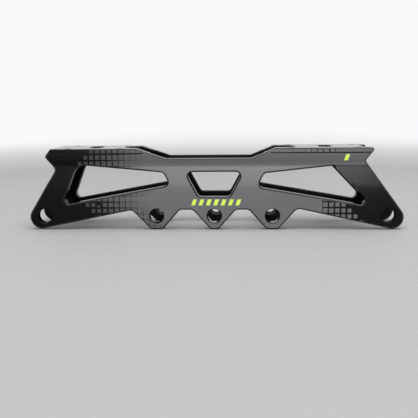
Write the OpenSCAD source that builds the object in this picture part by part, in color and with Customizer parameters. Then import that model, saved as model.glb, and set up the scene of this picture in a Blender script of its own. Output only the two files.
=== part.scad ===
// Bare inline skate frame: two milled side rails, joined only by a deck plate at each end.
// +X runs towards the toe, +Z up. Z = 0 is the underside of the three middle lobes,
// X = 0 is the middle axle station and Y = 0 is the middle of the wheel channel.

/* [Wheel line] */
// Distance from the first to the last axle
wheelbase = 243; // [228:3:258]
// Distance between the two axles next to the middle one
mid_pitch = 82; // [78:0.5:86]
// Height of the axles above the underside of the middle lobes
axle_z = 9.6; // [9:0.1:11]
// Bore for an axle through a rail
axle_bore_d = 10; // [8:0.1:11]
// Chamfer at the mouth of each axle bore
axle_chamfer = 0.5; // [0.2:0.1:0.8]
// Clear width between the rails
channel_w = 26; // [24:0.5:30]

/* [Rails] */
// Thickness of a rail
rail_t = 5.5; // [5:0.1:7]
// Height of the deck tops
deck_z = 57.3; // [55:0.1:60]
// Height of the low middle part of the rails
mid_z = 50.2; // [48:0.1:52]
// How far the outer face is drawn in at its waist
waist_in = 0.9; // [0.2:0.1:1.4]
// Height where the waist starts
waist_low_z = 29.5; // [26:0.5:33]
// Height of the waist's narrowest line
waist_top_z = 46; // [44:0.5:47]
// Height where the outer face is back at full width
flare_z = 49; // [48:0.5:51]
// Width of the head that carries a deck plate
head_w = 8; // [7.5:0.1:9]
// Height of the underside of that head
head_z = 48; // [47.5:0.5:49]

/* [Lobes] */
// Height of the valleys between the lobes
valley_z = 13.9; // [12.5:0.1:15]
// Height of the crest between the lobes and the heel end
heel_crest_z = 13.7; // [12.5:0.1:15]
// Height of the crest between the lobes and the toe end
toe_crest_z = 14.7; // [13:0.1:16]
// Slope of a lobe's flanks, in degrees
flank_a = 48.5; // [46:0.5:54]
// Slope of the flank that rises to the heel crest, in degrees
heel_flank_a = 45.5; // [43:0.5:54]
// Half width of an outer lobe's flat underside
outer_lobe_h = 4.3; // [3.5:0.1:5.5]
// Half width of the middle lobe's flat underside
mid_lobe_h = 3; // [2:0.1:4]
// How far the rails run past the end axles
end_reach = 10.9; // [10:0.1:12]
// Radius of the rounded heel end
heel_end_r = 8.2; // [7.5:0.1:9]
// How far the centre of that radius lies below the axle
heel_end_drop = 1; // [0:0.1:1.2]
// Radius of the rounded toe end
toe_end_r = 7.9; // [7.5:0.1:9]
// How far the centre of that radius lies below the axle
toe_end_drop = 1.4; // [0:0.1:1.6]

/* [Decks] */
// Thickness of a deck plate at its edge
deck_t = 3.2; // [3:0.1:4]
// Depth of the tenon below the deck plate, between the rail heads
tenon_t = 2.8; // [2:0.1:3.2]
// Spacing of the two boot mounting slots
mount_pitch = 165; // [160:1:168]
// Shift of their middle towards the heel
mount_back = 3.5; // [1:0.5:6]
// Width of a mounting slot, along the frame
slot_w = 9; // [8:0.1:10]
// Length of a mounting slot, across the frame
slot_l = 19; // [14:0.5:20]
// Heel deck: how far the end of its top lies inside the end axle
heel_deck_in = 6.1; // [4:0.1:8]
// Heel deck: where the slope to the middle starts
heel_slope_x = 55; // [53:0.5:57]
// Heel deck: where that slope ends
heel_slope_end_x = 34; // [30:0.5:38]
// Toe deck: how far the end of its top lies inside the end axle
toe_deck_in = 9.5; // [8:0.1:13]
// Toe deck: where the slope to the middle starts
toe_slope_x = 43.3; // [41:0.1:46]
// Toe deck: where that slope ends
toe_slope_end_x = 26.3; // [22:0.1:30]
// Heel deck: how far from the middle axle the round bay in its inner end stops
heel_bay_x = 65.3; // [62:0.1:67]
// Toe deck: how far from the middle axle the round bay in its inner end stops
toe_bay_x = 58; // [52:0.1:60]
// Toe deck: how far it stops short of the rails' ends, between the rail heads
toe_end_cut = 6.9; // [2:0.1:7.5]
// Thickness of a deck plate's nose, where it runs out in the slope and butts against the rail
nose_t = 0.8; // [0.5:0.1:2]

/* [Fasteners] */
// Nominal diameter of a deck screw
screw_d = 3; // [2.5:0.5:3.5]
// Length of a deck screw, head included
screw_l = 8; // [7:0.5:8.5]
// Head diameter of a deck screw
screw_head_d = 6; // [5.6:0.1:6.6]
// Width across flats of its hexagon socket
screw_af = 2; // [1.5:0.5:2]
// Depth of that socket
screw_socket = 1.1; // [0.9:0.1:1.4]
// Distance of the outer deck screws from the end of their deck's top
screw_end_in = 11.5; // [10:0.5:12.5]
// Distance of the inner deck screws from their deck's slope
screw_slope_in = 11; // [9:0.5:12]
// Diameter of a locating dowel
dowel_d = 3; // [2.5:0.5:3.5]
// Length of a locating dowel
dowel_l = 7; // [6:0.5:7]
// How far a dowel stands up into the deck plate
dowel_up = 2; // [1.5:0.1:2.2]
// Bore of a threaded axle bush
bush_bore_d = 6.8; // [6:0.1:7]
// Diameter of a bush's head
bush_head_d = 13; // [12:0.5:14]
// Thickness of a bush's head
bush_head_t = 1.2; // [0.8:0.1:2]
// Lead-in chamfer at both ends of a bush's bore
bush_mouth = 0.6; // [0.3:0.1:0.9]

/* [Windows] */
// Corner radius of the windows
window_r = 3.2; // [2:0.1:4]
// Radius of the heel window's tall corner
heel_window_r = 9; // [6:0.5:10]
// Half width of the middle window at its top
mid_window_top_h = 20.4; // [17:0.1:22]
// Half width of the middle window at its bottom
mid_window_low_h = 10.9; // [9:0.1:13]
// Height of the middle window's bottom
mid_window_low_z = 23.2; // [21:0.1:26]
// Height of the middle window's top
mid_window_top_z = 40.7; // [38:0.1:42]
// Diameter of the small hole in the heel end of the right rail
pilot_d = 2.5; // [2:0.1:3]

/* [Hidden] */

$fn = 64;
arc_step = 12;      // largest turn between two points of a rounded corner
arc_points = 3;     // fewest steps in a rounded corner
arc_share = 0.48;   // largest share of an edge that one of its corners may round off
slip = 0.1;         // gap round a deck plate
pin_slip = 0.02;    // gap round a pressed pin or bush
thread_slip = 0.05; // gap round a screw
drill_past = 0.4;   // depth of a blind hole past the end of its pin
past = 1;           // how far a cutter runs past a face

black = [0.1, 0.1, 0.105];
steel = [0.6, 0.6, 0.62];

half_w = channel_w / 2 + rail_t;
end_x = wheelbase / 2;
lobe_x = mid_pitch / 2;
axle_xs = [end_x, lobe_x, 0, -lobe_x, -end_x];
seat_z = deck_z - deck_t;
under_z = seat_z - tenon_t;
seat_y = half_w - head_w / 2;
tenon_h = half_w - head_w - slip;
heel_slot_x = -mount_pitch / 2 - mount_back;
toe_slot_x = mount_pitch / 2 - mount_back;
heel_end_x = -end_x + heel_deck_in;
toe_end_x = end_x - toe_deck_in;
// How far along each slope a deck plate thins to its nose
heel_nose_run = (deck_t - nose_t) * (heel_slope_x - heel_slope_end_x) / (deck_z - mid_z);
toe_nose_run = (deck_t - nose_t) * (toe_slope_x - toe_slope_end_x) / (deck_z - mid_z);
heel_shoulder_x = -heel_slope_x + heel_nose_run;
toe_shoulder_x = toe_slope_x - toe_nose_run;
bay_r = half_w - head_w;
// What goes through each deck plate, along X: [mounting slot, [screws on its heel side, on its toe side]]
heel_fit = [heel_slot_x, [heel_end_x + screw_end_in, -heel_slope_x - screw_slope_in]];
toe_fit = [toe_slot_x, [toe_slope_x + screw_slope_in, toe_end_x - screw_end_in]];
head_run = 2.5;     // how far a rail head runs past its shoulder
reach = end_x + 40; // well past either end

// The ends of the rails, relative to the axles: [distance in from the end axle, height, radius]
heel_tip = [1.8, 51.8, 1.6];
heel_notch = [9, 42.7, 3];
toe_notch = [16.9, 48.2, 2.4];
// Corner radii round the rest of the outline
heel_top_r = 1.2;
toe_top_r = 1.6;
slope_r = 3;
lobe_r = 3;
valley_r = 4.2;
crest_r = 4.5;

// The windows' corners nearest an end axle are given as a distance in from it,
// and those nearest a lobe as a distance in from that lobe's axle.
heel_window_far_top = [24.2, 46.1];
heel_window_far_low = [13, 17.4];
heel_window_near_top = [5.1, 40.4];
heel_window_near_low = [9.9, 31.5];
toe_window_far_top = [38, 44.7];
toe_window_far_low = [10.5, 16];
toe_window_near_top = [5.9, 39.6];
toe_window_near_low = [10.6, 30];
// The small hole in the heel end of the right rail: distance in from the end axle, and height
pilot_at = [39.2, 17.4];

function unit(v) = v / norm(v);
function along(a) = [cos(a), sin(a)];
function wrap(a) = a > 180 ? a - 360 : a < -180 ? a + 360 : a;
function cross_of(u, v) = u[0] * v[1] - u[1] * v[0];

// Heading of the line from p that is tangent to the circle at c with radius r, on one side of it
function tangent_heading(p, c, r, side) = let (v = c - p) atan2(v[1], v[0]) + side * asin(r / norm(v));

// Where the line from p with heading a meets the line from q with heading b
function meet(p, a, q, b) = p + along(a) * cross_of(q - p, along(b)) / cross_of(along(a), along(b));

// Points that round the corner b between a and c with radius r, where the edges leave room for it
function corner(a, b, c, r) =
    let (u = unit(a - b),
         v = unit(c - b),
         half = acos(u * v) / 2,
         room = arc_share * min(norm(a - b), norm(c - b)) * tan(half),
         fit_r = min(r, room),
         run = fit_r / tan(half),
         centre = b + unit(u + v) * fit_r / sin(half),
         from = b + u * run - centre,
         to = b + v * run - centre,
         start = atan2(from[1], from[0]),
         sweep = wrap(atan2(to[1], to[0]) - start),
         steps = max(arc_points, ceil(abs(sweep) / arc_step)))
    r <= 0 ? [b] : [for (i = [0 : steps]) centre + fit_r * along(start + sweep * i / steps)];

function xy(p) = [p[0], p[1]];

// Outline through corners given as [x, y, radius]
function rounded(p) =
    let (n = len(p))
    [for (i = [0 : n - 1]) each corner(xy(p[(i + n - 1) % n]), xy(p[i]), xy(p[(i + 1) % n]), p[i][2])];

// The flat underside of a lobe, from its toe side to its heel side
function lobe_floor(x, h) = [[x + h, 0, lobe_r], [x - h, 0, lobe_r]];

// Where the flank of that lobe on one side ends, at height z
function flank_top(x, h, side, z, r, a = flank_a) = [x + side * (h + z / tan(a)), z, r];

// The valley from the lobe at x to the lobe at next_x, on its heel side
function valley(x, h, next_x, next_h) =
    [flank_top(x, h, -1, valley_z, valley_r), flank_top(next_x, next_h, 1, valley_z, valley_r)];

// The corner where the leg and the lower edge of a rail meet, at its rounded end
function end_corner(dir, leg_top, crest, r, drop) =
    let (c = [dir * (end_x + end_reach - r), axle_z - drop],
         leg = tangent_heading(leg_top, c, r, dir),
         edge = tangent_heading(crest, c, r, -dir),
         p = meet(leg_top, leg, crest, edge))
    [p[0], p[1], r];

toe_leg_top = [end_x - toe_notch[0], toe_notch[1]];
heel_leg_top = [-end_x + heel_notch[0], heel_notch[1]];
toe_crest = flank_top(lobe_x, outer_lobe_h, 1, toe_crest_z, crest_r);
heel_crest = flank_top(-lobe_x, outer_lobe_h, -1, heel_crest_z, crest_r, heel_flank_a);

side_outline = rounded(concat(
    [[heel_end_x, deck_z, heel_top_r],
     [-heel_slope_x, deck_z, slope_r],
     [-heel_slope_end_x, mid_z, slope_r],
     [toe_slope_end_x, mid_z, slope_r],
     [toe_slope_x, deck_z, slope_r],
     [toe_end_x, deck_z, toe_top_r],
     [toe_leg_top[0], toe_leg_top[1], toe_notch[2]],
     end_corner(1, toe_leg_top, xy(toe_crest), toe_end_r, toe_end_drop),
     toe_crest],
    lobe_floor(lobe_x, outer_lobe_h),
    valley(lobe_x, outer_lobe_h, 0, mid_lobe_h),
    lobe_floor(0, mid_lobe_h),
    valley(0, mid_lobe_h, -lobe_x, outer_lobe_h),
    lobe_floor(-lobe_x, outer_lobe_h),
    [heel_crest,
     end_corner(-1, heel_leg_top, xy(heel_crest), heel_end_r, heel_end_drop),
     [heel_leg_top[0], heel_leg_top[1], heel_notch[2]],
     [-end_x + heel_tip[0], heel_tip[1], heel_tip[2]]]));

heel_window = rounded([
    [-end_x + heel_window_far_top[0], heel_window_far_top[1], heel_window_r],
    [-lobe_x + heel_window_near_top[0], heel_window_near_top[1], window_r],
    [-lobe_x + heel_window_near_low[0], heel_window_near_low[1], window_r],
    [-end_x + heel_window_far_low[0], heel_window_far_low[1], window_r]]);

toe_window = rounded([
    [end_x - toe_window_far_top[0], toe_window_far_top[1], window_r],
    [lobe_x - toe_window_near_top[0], toe_window_near_top[1], window_r],
    [lobe_x - toe_window_near_low[0], toe_window_near_low[1], window_r],
    [end_x - toe_window_far_low[0], toe_window_far_low[1], window_r]]);

mid_window = rounded([
    [mid_window_top_h, mid_window_top_z, window_r],
    [-mid_window_top_h, mid_window_top_z, window_r],
    [-mid_window_low_h, mid_window_low_z, window_r],
    [mid_window_low_h, mid_window_low_z, window_r]]);

// Section of a rail, as distance out from the middle of the channel and height
waist_low_r = 110;
waist_top_r = 7;
flare_r = 5;
head_in = head_w - rail_t;
rail_section = rounded([
    [half_w, -past, 0],
    [half_w, waist_low_z, waist_low_r],
    [half_w - waist_in, waist_top_z, waist_top_r],
    [half_w, flare_z, flare_r],
    [half_w, deck_z + past, 0],
    [half_w - head_w, deck_z + past, 0],
    [half_w - head_w, head_z, 0],
    [half_w - rail_t, head_z - head_in, 0],
    [half_w - rail_t, -past, 0]]);

slot_outline = rounded([
    [slot_w / 2, slot_l / 2, slot_w / 2],
    [-slot_w / 2, slot_l / 2, slot_w / 2],
    [-slot_w / 2, -slot_l / 2, slot_w / 2],
    [slot_w / 2, -slot_l / 2, slot_w / 2]]);

// A side view outline as a solid, from y_from across the width w
module across(outline, y_from, w) {
    translate([0, y_from + w, 0])
        rotate([90, 0, 0])
            linear_extrude(w) polygon(outline);
}

// A hole along Y from y_from, of length l
module cross_hole(x, z, d, y_from, l) {
    translate([x, y_from, z])
        rotate([-90, 0, 0])
            cylinder(h = l, d = d);
}

module deck_screw_places(fit) {
    for (x = fit[1], side = [-1, 1])
        translate([x, side * seat_y, 0])
            children();
}

// One dowel a rail, midway from the slot to a screw: in the right rail on the slot's heel side,
// in the left rail on its toe side
module dowel_places(fit) {
    for (i = [0, 1])
        translate([(fit[0] + fit[1][i]) / 2, (2 * i - 1) * seat_y, 0])
            children();
}

// Blind holes for the dowels in the heads of both rails
module dowel_holes() {
    for (fit = [heel_fit, toe_fit])
        dowel_places(fit)
            translate([0, 0, seat_z + dowel_up - dowel_l - drill_past])
                cylinder(h = deck_z, d = dowel_d + 2 * pin_slip);
}

// The rail on the -Y side, with all that it shares with the other rail
module rail_blank() {
    difference() {
        intersection() {
            across(side_outline, -half_w - past, rail_t + head_in + 2 * past);
            mirror([0, 1, 0])
                rotate([90, 0, 90])
                    linear_extrude(2 * reach, center = true) polygon(rail_section);
        }
        for (w = [heel_window, mid_window, toe_window])
            across(w, -half_w - past, rail_t + head_in + 2 * past);
        // seats for the deck plates
        translate([heel_shoulder_x - reach, -half_w - past, seat_z])
            cube([reach, 2 * half_w, deck_t + past]);
        translate([toe_shoulder_x, -half_w - past, seat_z])
            cube([reach, 2 * half_w, deck_t + past]);
        // the head stops where the top is open
        translate([heel_shoulder_x + head_run, -channel_w / 2, head_z - head_in - past])
            cube([toe_shoulder_x - heel_shoulder_x - 2 * head_run, channel_w, deck_z]);
        for (fit = [heel_fit, toe_fit])
            deck_screw_places(fit)
                translate([0, 0, deck_z - screw_l - drill_past])
                    cylinder(h = deck_z, d = screw_d + 2 * thread_slip);
        for (x = axle_xs)
            cross_hole(x, axle_z, axle_bore_d, -half_w - past, rail_t + 2 * past);
    }
}

// Chamfer at the outer mouth of an axle bore
module bore_mouth(x) {
    translate([x, -half_w, axle_z])
        rotate([-90, 0, 0])
            cylinder(h = axle_chamfer, d1 = axle_bore_d + 2 * axle_chamfer, d2 = axle_bore_d);
}

module right_rail() {
    color(black)
        difference() {
            rail_blank();
            dowel_holes();
            for (x = axle_xs)
                bore_mouth(x);
            cross_hole(-end_x + pilot_at[0], pilot_at[1], pilot_d, -half_w - past, rail_t + 2 * past);
        }
}

// The other rail is the same blank turned over, counterbored for the heads of the axle bushes
module left_rail() {
    color(black)
        difference() {
            mirror([0, 1, 0]) rail_blank();
            dowel_holes();
            for (x = axle_xs)
                cross_hole(x, axle_z, bush_head_d + 2 * pin_slip, half_w - bush_head_t, bush_head_t + past);
        }
}

// A deck plate: it lies on the heads of both rails, and its tenon keeps them apart
module deck(dir, shoulder_x, bay_x, fit) {
    inner_x = shoulder_x + dir * slip;
    color(black)
        difference() {
            intersection() {
                across(side_outline, -half_w, 2 * half_w);
                union() {
                    translate([dir > 0 ? inner_x : inner_x - reach, -half_w, seat_z])
                        cube([reach, 2 * half_w, deck_t]);
                    translate([dir > 0 ? inner_x : inner_x - reach, -tenon_h, under_z])
                        cube([reach, 2 * tenon_h, tenon_t + deck_t]);
                }
            }
            // the bay: a round end, with straight sides where it runs out past the inner end
            translate([dir * (bay_x - bay_r), 0, under_z - past]) {
                cylinder(h = deck_z, r = bay_r);
                translate([dir > 0 ? -reach : 0, -bay_r, 0])
                    cube([reach, 2 * bay_r, deck_z]);
            }
            translate([fit[0], 0, under_z - past])
                linear_extrude(deck_z) polygon(slot_outline);
            deck_screw_places(fit) {
                translate([0, 0, seat_z - past])
                    cylinder(h = deck_z, d = screw_d + 2 * slip);
                translate([0, 0, deck_z])
                    screw_head(screw_head_d + 2 * thread_slip, past);
            }
            dowel_places(fit)
                translate([0, 0, seat_z - past])
                    cylinder(h = past + dowel_up + pin_slip, d = dowel_d + 2 * pin_slip);
        }
}

// A countersunk head with its top at Z = 0, or a cutter for one that runs up past it
module screw_head(d, up = 0) {
    cone_h = (d - screw_d) / 2;
    translate([0, 0, -cone_h])
        cylinder(h = cone_h, d1 = screw_d, d2 = d);
    if (up > 0)
        cylinder(h = up, d = d);
}

module deck_screws(fit) {
    color(steel)
        deck_screw_places(fit)
            translate([0, 0, deck_z - thread_slip])
                difference() {
                    union() {
                        screw_head(screw_head_d);
                        translate([0, 0, thread_slip - screw_l])
                            cylinder(h = screw_l - thread_slip - (screw_head_d - screw_d) / 2, d = screw_d);
                    }
                    translate([0, 0, -screw_socket])
                        cylinder(h = screw_socket + past, d = screw_af / cos(30), $fn = 6);
                }
}

module deck_dowels(fit) {
    color(steel)
        dowel_places(fit)
            translate([0, 0, seat_z + dowel_up - dowel_l])
                cylinder(h = dowel_l, d = dowel_d);
}

// A headed steel bush, pressed into the left rail from outside and tapped for an axle
module axle_bush(x) {
    color(steel)
        translate([x, half_w, axle_z])
            rotate([90, 0, 0])
                difference() {
                    union() {
                        cylinder(h = bush_head_t, d = bush_head_d);
                        cylinder(h = rail_t, d = axle_bore_d - 2 * pin_slip);
                    }
                    translate([0, 0, -past])
                        cylinder(h = rail_t + 2 * past, d = bush_bore_d);
                    cylinder(h = bush_mouth, d1 = bush_bore_d + 2 * bush_mouth, d2 = bush_bore_d);
                    translate([0, 0, rail_t - bush_mouth])
                        cylinder(h = bush_mouth, d1 = bush_bore_d, d2 = bush_bore_d + 2 * bush_mouth);
                }
}

module toe_deck() {
    color(black)
        difference() {
            deck(1, toe_shoulder_x, toe_bay_x, toe_fit);
            translate([toe_end_x - toe_end_cut, -bay_r, under_z - past])
                cube([reach, 2 * bay_r, deck_z]);
        }
}
module heel_deck() { deck(-1, heel_shoulder_x, heel_bay_x, heel_fit); }
module toe_deck_screws() { deck_screws(toe_fit); }
module heel_deck_screws() { deck_screws(heel_fit); }
module toe_deck_dowels() { deck_dowels(toe_fit); }
module heel_deck_dowels() { deck_dowels(heel_fit); }
module axle_bush_toe() { axle_bush(axle_xs[0]); }
module axle_bush_fore() { axle_bush(axle_xs[1]); }
module axle_bush_middle() { axle_bush(axle_xs[2]); }
module axle_bush_aft() { axle_bush(axle_xs[3]); }
module axle_bush_heel() { axle_bush(axle_xs[4]); }

right_rail();
left_rail();
toe_deck();
heel_deck();
toe_deck_screws();
heel_deck_screws();
toe_deck_dowels();
heel_deck_dowels();
axle_bush_toe();
axle_bush_fore();
axle_bush_middle();
axle_bush_aft();
axle_bush_heel();
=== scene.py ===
"""Looks for a bare inline skate frame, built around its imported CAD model.

The rails and decks are chamfered copies of the CAD solids. The deck screws and the threads of the
axle bushes come from Geometry Nodes. Every finish is made of shader nodes on Object coordinates.
"""

import logging
import math
from dataclasses import dataclass
from enum import Enum
from typing import Any, Callable, Optional

import bmesh
import bpy
import numpy as np
from bmesh.types import BMesh, BMFace, BMVert
from bpy.types import Material, Mesh, Node, NodeSocket, NodeTree, Object
from mathutils import Matrix, Vector
from mathutils.bvhtree import BVHTree
from mathutils.geometry import delaunay_2d_cdt

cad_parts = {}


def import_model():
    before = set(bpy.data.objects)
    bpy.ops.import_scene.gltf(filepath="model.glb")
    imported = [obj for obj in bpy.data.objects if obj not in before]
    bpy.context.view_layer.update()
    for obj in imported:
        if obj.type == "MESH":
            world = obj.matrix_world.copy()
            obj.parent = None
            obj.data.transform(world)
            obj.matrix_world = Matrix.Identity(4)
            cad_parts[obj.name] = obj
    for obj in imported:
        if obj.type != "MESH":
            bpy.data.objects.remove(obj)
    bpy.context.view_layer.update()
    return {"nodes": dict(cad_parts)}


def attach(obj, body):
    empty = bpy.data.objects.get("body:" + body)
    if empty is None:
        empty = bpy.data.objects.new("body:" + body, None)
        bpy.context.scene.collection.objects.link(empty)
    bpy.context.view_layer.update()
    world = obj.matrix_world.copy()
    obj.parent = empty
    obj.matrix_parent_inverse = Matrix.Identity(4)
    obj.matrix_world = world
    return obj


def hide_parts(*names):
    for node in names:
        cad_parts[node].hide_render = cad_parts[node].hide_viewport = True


LOG = logging.getLogger("skate_frame")
BODY = "root"
MM = 0.001

# Sizes and places on the frame that several pieces share, in mm
AXLE_Z = 9.6
HALF_WIDTH = 18.5
RAIL_THICKNESS = 5.5
DECK_TOP_Z = 57.3
DECK_SEAT_Z = 54.1
AXLE_STATIONS = {"toe": 121.5, "fore": 41.0, "middle": 0.0, "aft": -41.0, "heel": -121.5}
DECK_SCREW_XS = {"heel": (-103.9, -66.0), "toe": (54.3, 100.5)}
NOSE_SPANS = ((-50.0, -47.8), (37.5, 39.7))

# Holes in a rail's outer face: place along X, height, and how far the edges round it lie, in mm
OUTER_HOLES = tuple((x, AXLE_Z, 6.0) for x in AXLE_STATIONS.values()) + ((-82.3, 17.4, 2.0),)

# Corners that are too tight for their chamfers, so that points near them are merged, in mm
TIGHT_CORNERS = ((105.8, 46.5), (-114.0, 44.7))
TIGHT_REACH = 2.5
TIGHT_MERGE = 0.32

# Share of a normal along an axis: least for a flat face, least for the waisted outer face, and most
# across the frame for the wall of a bore
FLAT_SHARE = 0.99
WAISTED_SHARE = 0.94
BORE_SHARE = 0.1

# Reach of a bore's wall from its axis, and depth of the outer face from the side, in mm
BORE_REACH = 5.5
OUTER_DEPTH = 1.5

# Distance up to which two places count as one, and gap between a fill's points and its rim, in mm
CLOSE = 0.03
FILL_GAP = 0.3

# Least area of a fill's triangle in square mm, the fill's tolerance in metres, and a length that
# counts as none
LEAST_AREA = 1e-5
FILL_EPSILON = 1e-8
TINY = 1e-9

# Heights at which the lean of the outer face is read, in mm, and how many of them are evened out
LEAN_HEIGHTS = np.arange(0.0, DECK_TOP_Z, 0.25)
LEAN_WINDOW = 5

# The grain of the metal: blasted specks, lines drawn along X, and soft clouds. Level is their middle
LINE_STRETCH = (0.02, 1.0, 1.0)
GRAIN = {
    "Speck Scale": 2600.0,
    "Speck Share": 0.4,
    "Line Scale": 1500.0,
    "Line Share": 0.6,
    "Cloud Scale": 55.0,
    "Cloud Share": 0.5,
    "Level": 0.75,
    "Roughness": 0.4,
    "Spread": 0.12,
    "Shade Spread": 0.5,
}

# The printed fade, with painted shade over its upper band. Its places lie along X or up Z, and its
# squares are measured from their middle to their side, as shares of the pitch
PIXEL_FADE = {
    "Pitch": 4.2 * MM,
    "Row Shift": 1.3 * MM,
    "First Square": 0.31,
    "Full Square": 0.53,
    "Edge Sharpness": 25.0,
    "Least Share": 0.001,
    "Heel Start": -108.4 * MM,
    "Heel Solid": -62 * MM,
    "Heel Lean": -1.0,
    "Heel Fold": 36.7 * MM,
    "Heel Bare": 11 * MM,
    "Heel Tone": 0.35,
    "Toe Start": 109 * MM,
    "Toe Solid": 60 * MM,
    "Toe Lean": 0.9,
    "Toe Edge": 75.6 * MM,
    "Window Top": 42.5 * MM,
    "Window End": 84 * MM,
    "Leg Top": 45.2 * MM,
    "Row Low": DECK_SEAT_Z * MM,
    "Row End": 84 * MM,
    "Row Thin": 100 * MM,
    "Row Solid": 42 * MM,
    # Painted shade: these three darken the print over the upper band
    "Upper Shade Start": 44.5 * MM,
    "Upper Shade Full": 48.5 * MM,
    "Upper Painted Shade": 0.8,
}

# One printed dash. Slant is its run over its rise, and Filled the share of the pitch that it takes
DASHES = {
    "Start X": 0.0,
    "Middle Z": 0.0,
    "Count": 1.0,
    "Pitch": 5.2 * MM,
    "Filled": 0.5,
    "Height": 4.2 * MM,
    "Slant": 0.35,
}


class Slot(Enum):
    """Names of the record's material slots."""

    BLACK = "black_anodised"
    SCREW = "screw_steel"
    BUSH = "bush_steel"


class Skin(Enum):
    """Which finish a face of a rail or a deck takes, as its material index."""

    PLAIN = 0
    PRINT = 1
    CHAMFER = 2
    TOP = 3
    INNER = 4
    SEAT = 5
    BORE = 6

    def axis(self) -> int:
        """The axis that a broad face of this kind looks along."""
        return 2 if self in (Skin.TOP, Skin.SEAT) else 1


BROAD = (Skin.PRINT, Skin.TOP, Skin.INNER, Skin.SEAT)


class TreeKind(Enum):
    """What a node group works on."""

    SHADER = "ShaderNodeTree"
    GEOMETRY = "GeometryNodeTree"


class Socket(Enum):
    """What a socket of a node group carries."""

    NUMBER = "NodeSocketFloat"
    VECTOR = "NodeSocketVector"
    GEOMETRY = "NodeSocketGeometry"
    MATERIAL = "NodeSocketMaterial"


class Graph:
    """A node tree, with short ways to add, set and link its nodes."""

    def __init__(self, tree: NodeTree) -> None:
        """Wraps a node tree."""
        self.tree = tree

    @classmethod
    def cleared(cls, owner: bpy.types.ID) -> "Graph":
        """Empties the nodes of a material or of the world.

        Args:
            owner: The material or the world.

        Returns:
            The graph of its nodes.
        """
        owner.use_nodes = True
        owner.node_tree.nodes.clear()
        return cls(owner.node_tree)

    @classmethod
    def group(
        cls, name: str, kind: TreeKind, inputs: dict[str, float | Socket], outputs: dict[str, Socket]
    ) -> "Graph":
        """Makes a node group with named sockets.

        Args:
            name: The group's name.
            kind: What the group works on.
            inputs: For each input its default number, or what it carries.
            outputs: For each output what it carries.

        Returns:
            The graph of the new group.
        """
        tree = bpy.data.node_groups.new(name, kind.value)
        for label, given in inputs.items():
            carries = given if isinstance(given, Socket) else Socket.NUMBER
            made = tree.interface.new_socket(name=label, in_out="INPUT", socket_type=carries.value)
            if carries is not given:
                made.default_value = given
        for label, carries in outputs.items():
            tree.interface.new_socket(name=label, in_out="OUTPUT", socket_type=carries.value)
        return cls(tree)

    def feed(self, socket: NodeSocket, value: Any) -> None:
        """Links or sets an input.

        Args:
            socket: The input.
            value: An output socket to link, or a plain value to set.
        """
        if isinstance(value, NodeSocket):
            self.tree.links.new(value, socket)
        else:
            socket.default_value = value

    def add(self, kind: str, feeds: Optional[dict] = None, **settings: Any) -> Node:
        """Adds a node.

        Args:
            kind: The node's type name.
            feeds: Values or sockets for its inputs, by name or number.
            settings: The node's own properties.

        Returns:
            The new node.
        """
        node = self.tree.nodes.new(kind)
        for key, value in settings.items():
            setattr(node, key, value)
        for key, value in (feeds or {}).items():
            self.feed(node.inputs[key], value)
        return node

    def math(self, operation: str, *feeds: Any, clamp: bool = False) -> NodeSocket:
        """Adds a Math node.

        Args:
            operation: The operation's name.
            feeds: Its values or sockets, in order.
            clamp: Whether the result is held between 0 and 1.

        Returns:
            Its output.
        """
        node = self.add("ShaderNodeMath", dict(enumerate(feeds)), operation=operation, use_clamp=clamp)
        return node.outputs[0]

    def vector(self, operation: str, feeds: dict) -> NodeSocket:
        """Adds a Vector Math node.

        Args:
            operation: The operation's name.
            feeds: Its values or sockets, by name or number.

        Returns:
            Its vector, or the number of a LENGTH.
        """
        node = self.add("ShaderNodeVectorMath", feeds, operation=operation)
        return node.outputs["Value" if operation == "LENGTH" else "Vector"]

    def noise(self, vector: NodeSocket, scale: Any, detail: float) -> NodeSocket:
        """Adds a Noise Texture.

        Args:
            vector: Where it is read.
            scale: Its scale.
            detail: Its detail.

        Returns:
            Its value.
        """
        feeds = {"Vector": vector, "Scale": scale, "Detail": detail}
        return self.add("ShaderNodeTexNoise", feeds).outputs["Fac"]

    def span(self, value: Any, start: Any, end: Any) -> NodeSocket:
        """Adds a clamped Map Range to 0 and 1.

        Args:
            value: What is mapped.
            start: The value that gives 0.
            end: The value that gives 1.

        Returns:
            Its output.
        """
        node = self.add("ShaderNodeMapRange", {"Value": value, "From Min": start, "From Max": end})
        return node.outputs["Result"]

    def mix(self, share: Any, first: Any, second: Any) -> NodeSocket:
        """Adds a colour Mix.

        Args:
            share: How much of the second colour.
            first: The colour at 0.
            second: The colour at 1.

        Returns:
            Its colour output.
        """
        node = self.add("ShaderNodeMix", data_type="RGBA")
        colours = [s for s in node.inputs if s.type == "RGBA"]
        self.feed(node.inputs["Factor"], share)
        self.feed(colours[0], first)
        self.feed(colours[1], second)
        return next(s for s in node.outputs if s.type == "RGBA")

    def dress(self, geometry: NodeSocket, material: NodeSocket) -> None:
        """Ends Geometry Nodes with plain geometry in its material.

        Args:
            geometry: What the nodes have made.
            material: The material.
        """
        real = self.add("GeometryNodeRealizeInstances", {"Geometry": geometry})
        feeds = {"Geometry": real.outputs["Geometry"], "Material": material}
        dressed = self.add("GeometryNodeSetMaterial", feeds)
        self.add("NodeGroupOutput", {"Geometry": dressed.outputs["Geometry"]})


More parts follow.
